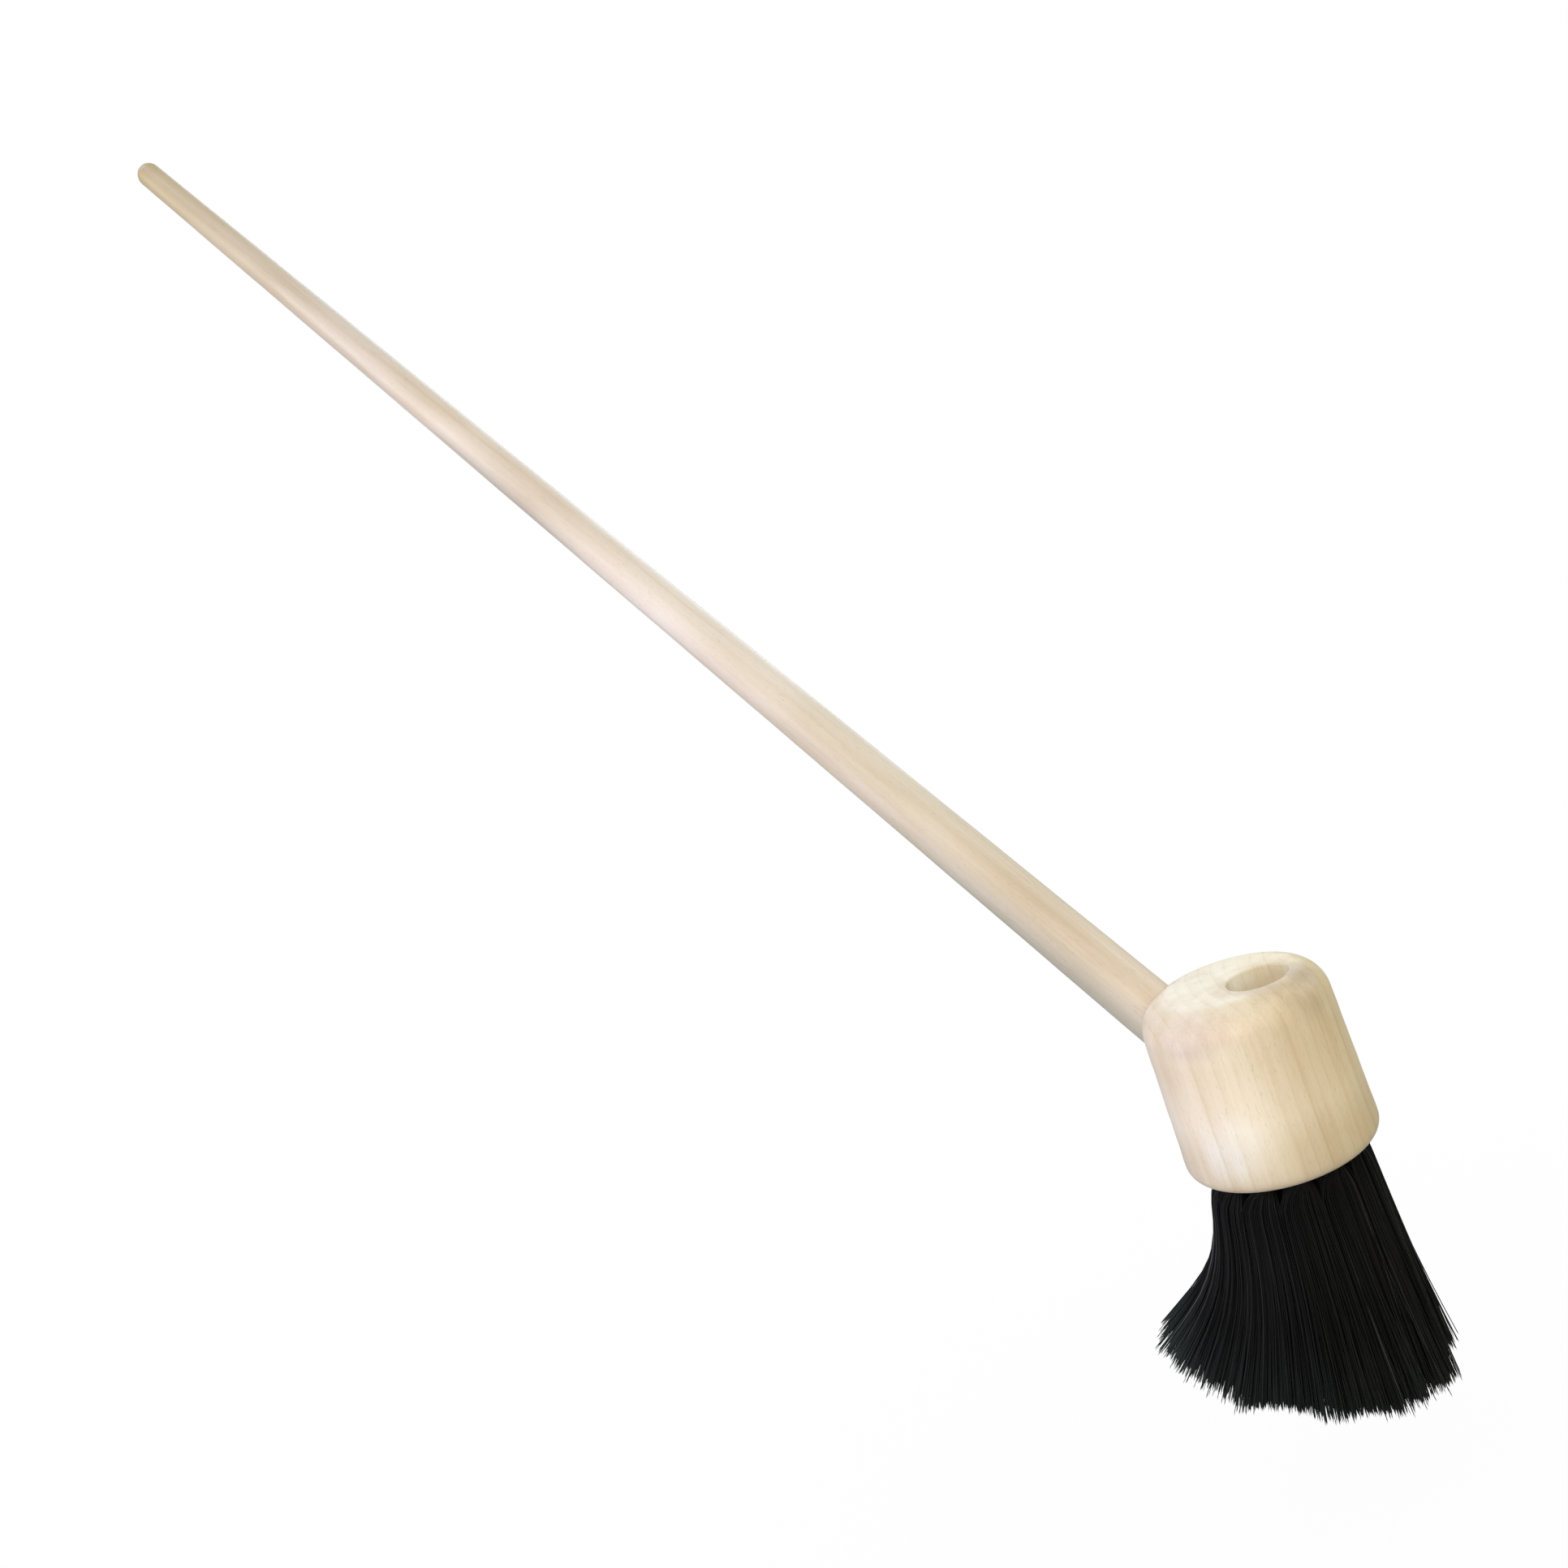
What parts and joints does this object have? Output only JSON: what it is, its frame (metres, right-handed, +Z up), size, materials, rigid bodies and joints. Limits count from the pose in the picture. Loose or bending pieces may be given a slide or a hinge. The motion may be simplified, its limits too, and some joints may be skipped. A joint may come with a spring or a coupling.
{
  "type": "body dry brush",
  "caption": "Long-handled body brush: turned round wooden head with black bristle tufts and a tapered wooden handle pushed in at an angle.",
  "frame": {"origin": "centre of the head's flat top, on the head's own axis", "axes": "+Z up the head's axis, away from the bristle; the handle leans towards -X in the XZ plane; +Y completes a right-handed frame"},
  "size_m": [0.3613, 0.058, 0.5133],
  "materials": {
    "head_wood": "pale fine-grained hardwood, sanded and waxed",
    "handle_wood": "pale fine-grained hardwood, sanded and waxed",
    "bristle": "black bristle, dull",
    "steel_wire": "drawn wire"
  },
  "bodies": {
    "head": {"head_block": "head_wood", "tuft_centre": "bristle", "tuft_inner_1": "bristle", "tuft_inner_2": "bristle", "tuft_inner_3": "bristle", "tuft_inner_4": "bristle", "tuft_inner_5": "bristle", "tuft_inner_6": "bristle", "tuft_outer_1": "bristle", "tuft_outer_2": "bristle", "tuft_outer_3": "bristle", "tuft_outer_4": "bristle", "tuft_outer_5": "bristle", "tuft_outer_6": "bristle", "tuft_outer_7": "bristle", "tuft_outer_8": "bristle", "tuft_outer_9": "bristle", "tuft_outer_10": "bristle", "tuft_outer_11": "bristle", "tuft_outer_12": "bristle", "staple_centre": "steel_wire", "staple_inner_1": "steel_wire", "staple_inner_2": "steel_wire", "staple_inner_3": "steel_wire", "staple_inner_4": "steel_wire", "staple_inner_5": "steel_wire", "staple_inner_6": "steel_wire", "staple_outer_1": "steel_wire", "staple_outer_2": "steel_wire", "staple_outer_3": "steel_wire", "staple_outer_4": "steel_wire", "staple_outer_5": "steel_wire", "staple_outer_6": "steel_wire", "staple_outer_7": "steel_wire", "staple_outer_8": "steel_wire", "staple_outer_9": "steel_wire", "staple_outer_10": "steel_wire", "staple_outer_11": "steel_wire", "staple_outer_12": "steel_wire"},
    "handle": {"handle": "handle_wood"}
  },
  "joints": [
    {"name": "handle_pull_out", "type": "slide", "parent": "head", "child": "handle", "axis": [-0.6157, 0, 0.788], "range_m": [0, 0.04]}
  ]
}
